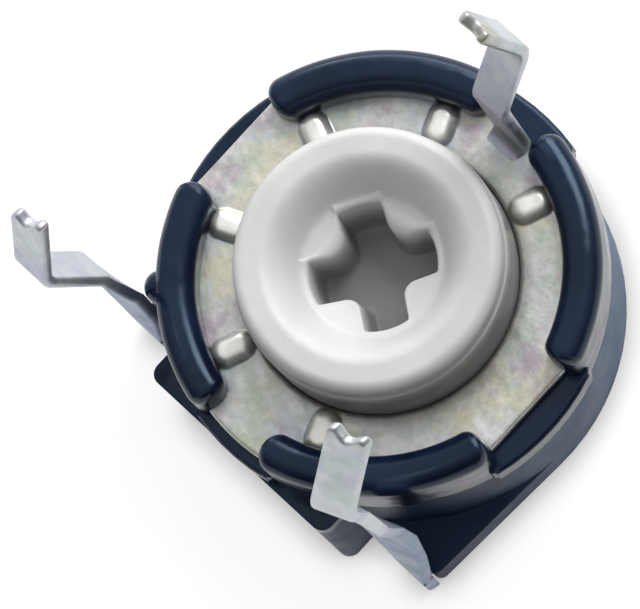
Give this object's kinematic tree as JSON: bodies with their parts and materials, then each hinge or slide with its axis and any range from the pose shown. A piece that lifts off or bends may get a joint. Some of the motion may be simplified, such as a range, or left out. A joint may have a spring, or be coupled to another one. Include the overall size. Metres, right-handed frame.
{
  "type": "trimmer potentiometer",
  "caption": "Small closed round trimmer potentiometer with a cross-slotted rotor, folded plastic lips over a metal plate and kinked snap-in pins.",
  "frame": {"origin": "on the rotor's axis, in the plane of the housing's back face", "axes": "+Z along the rotor's axis, out of the adjusting face; +Y towards the wiper pin; the two end pins stand at -Y, left at -X and right at +X"},
  "size_m": [0.0106, 0.0112, 0.0123],
  "materials": {
    "housing_plastic": "moulded, slightly satin",
    "plate_zinc": "zinc plated and passivated, mottled",
    "pin_tin": "tin plated",
    "rotor_plastic": "moulded, smooth",
    "spring_brass": "rolled spring strip",
    "element_board": "pressed laminate",
    "rivet_brass": "tin-washed brass"
  },
  "bodies": {
    "body": {"housing": "housing_plastic", "cover_plate": "plate_zinc", "resistive_element": "element_board", "left_pin": "pin_tin", "right_pin": "pin_tin", "left_rivet": "rivet_brass", "right_rivet": "rivet_brass"},
    "rotor_group": {"rotor": "rotor_plastic", "wiper_spring": "spring_brass"}
  },
  "joints": [
    {"name": "rotor_turn", "type": "hinge", "parent": "body", "child": "rotor_group", "pos_m": [0, 0, 0], "axis": [0, 0, 1], "range_deg": [-130, 106]}
  ]
}
